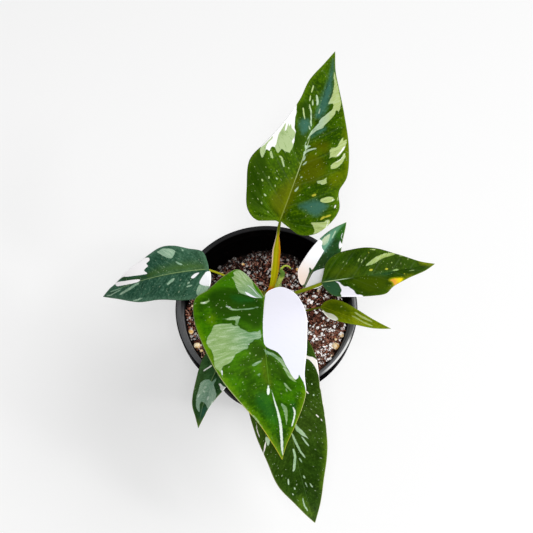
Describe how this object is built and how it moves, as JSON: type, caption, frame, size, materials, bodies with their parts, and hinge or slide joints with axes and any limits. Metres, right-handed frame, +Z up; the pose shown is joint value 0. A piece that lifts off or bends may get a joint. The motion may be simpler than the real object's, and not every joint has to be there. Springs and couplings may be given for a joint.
{
  "type": "potted white princess philodendron",
  "caption": "Variegated philodendron in a round black grower's pot: arching pointed leaves on slim petioles from a short stem, standing in potting mix.",
  "frame": {"origin": "middle of the flat underside of the pot's floor", "axes": "+Z up along the pot's axis, -Y towards the side that the largest leaf faces, +X to that viewer's right"},
  "size_m": [0.2085, 0.2687, 0.2035],
  "materials": {
    "pot_black": "black moulded plastic, satin, fine scuffs",
    "potting_mix": "damp bark and coco with white perlite grains",
    "stem_green": "smooth waxy green, brownish at the nodes",
    "leaf_green": "glossy waxy mid green with white and pale green sectors",
    "leaf_dark": "glossy dark green with white and grey green sectors",
    "leaf_olive": "glossy olive green with pale yellow streaks",
    "leaf_white": "glossy white with grey green sectors",
    "new_growth": "glossy yellow green",
    "bract_pale": "thin papery, pale straw"
  },
  "bodies": {
    "root": {"pot": "pot_black", "soil": "potting_mix", "stem": "stem_green", "leaf_front": "leaf_green", "leaf_back": "leaf_green", "leaf_left": "leaf_dark", "leaf_right": "leaf_dark", "leaf_upper_right": "leaf_white", "leaf_lower_right": "leaf_olive", "leaf_low_front": "leaf_dark", "leaf_low_left": "leaf_dark", "new_leaf": "new_growth", "bract_left": "bract_pale", "bract_right": "bract_pale"}
  },
  "joints": []
}
